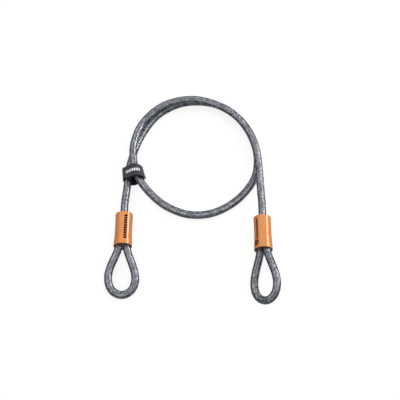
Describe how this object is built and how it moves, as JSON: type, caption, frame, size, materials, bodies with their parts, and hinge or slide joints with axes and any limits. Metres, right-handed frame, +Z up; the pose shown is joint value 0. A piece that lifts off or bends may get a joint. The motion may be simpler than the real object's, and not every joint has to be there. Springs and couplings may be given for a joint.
{
  "type": "double-loop cable lock",
  "caption": "Jacketed braided-steel security cable with a crimped eye and a moulded sleeve at each end, coiled and tied with a hook-and-loop strap.",
  "frame": {"origin": "middle of the footprint, on the ground the coil lies on", "axes": "+Z up from the ground, +Y from the two eyes towards the coil, +X from the eye that lies flat towards the eye that is turned on edge"},
  "size_m": [0.2181, 0.3112, 0.0311],
  "materials": {
    "steel": "satin",
    "jacket": "gloss",
    "crimp": "satin",
    "sleeve_vinyl": "semi-gloss",
    "strap_tape": "woven",
    "thread": "matte",
    "print": "matte"
  },
  "bodies": {
    "cable": {"wire_core": "steel", "steel_braid": "steel", "main_jacket": "jacket", "left_eye_jacket": "jacket", "right_eye_jacket": "jacket", "left_ferrule": "crimp", "right_ferrule": "crimp", "left_sleeve": "sleeve_vinyl", "right_sleeve": "sleeve_vinyl", "strap_band": "strap_tape", "strap_tab": "strap_tape", "tab_stitches": "thread", "loop_pad": "strap_tape"},
    "flap": {"strap_flap": "strap_tape", "flap_hooks": "strap_tape", "flap_stitches": "thread", "flap_mark": "print"},
    "tip": {"flap_tip": "strap_tape", "tip_hooks": "strap_tape", "tip_stitches": "thread", "tip_mark": "print"}
  },
  "joints": [
    {"name": "flap_lift", "type": "hinge", "parent": "cable", "child": "flap", "pos_m": [-0.09312, 0.02909, 0.00825], "axis": [0.1045, -0.9945, 0], "range_deg": [0, 115]},
    {"name": "tip_lift", "type": "hinge", "parent": "flap", "child": "tip", "pos_m": [-0.07477, 0.03102, 0.02345], "axis": [0.1045, -0.9945, 0], "range_deg": [0, 75]}
  ]
}
